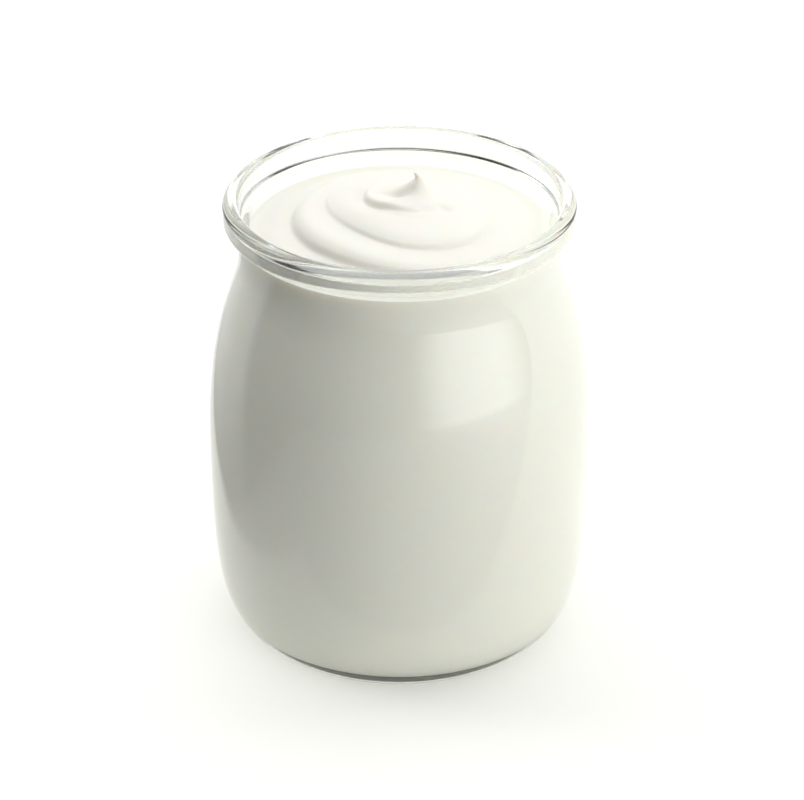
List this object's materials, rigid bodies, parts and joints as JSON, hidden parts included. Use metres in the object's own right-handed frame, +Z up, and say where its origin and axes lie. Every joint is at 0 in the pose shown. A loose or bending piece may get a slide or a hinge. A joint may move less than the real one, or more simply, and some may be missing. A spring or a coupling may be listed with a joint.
{
  "type": "glass jar of yogurt",
  "caption": "Small bulging clear glass jar with a rolled lip, filled with thick white yogurt that is spooned into a spiral swirl with a hooked peak.",
  "frame": {"origin": "on the jar's axis, at the height of the surface it stands on", "axes": "+Z up along the jar's axis, from its base to its mouth; -Y towards the side from which the swirl shows best; +X to the right"},
  "size_m": [0.066, 0.066, 0.084],
  "materials": {
    "clear_glass": "clear, smooth, pressed soda-lime glass",
    "yogurt": "thick creamy white with a soft wet sheen"
  },
  "bodies": {
    "root": {"glass_jar": "clear_glass", "yogurt": "yogurt"}
  },
  "joints": []
}
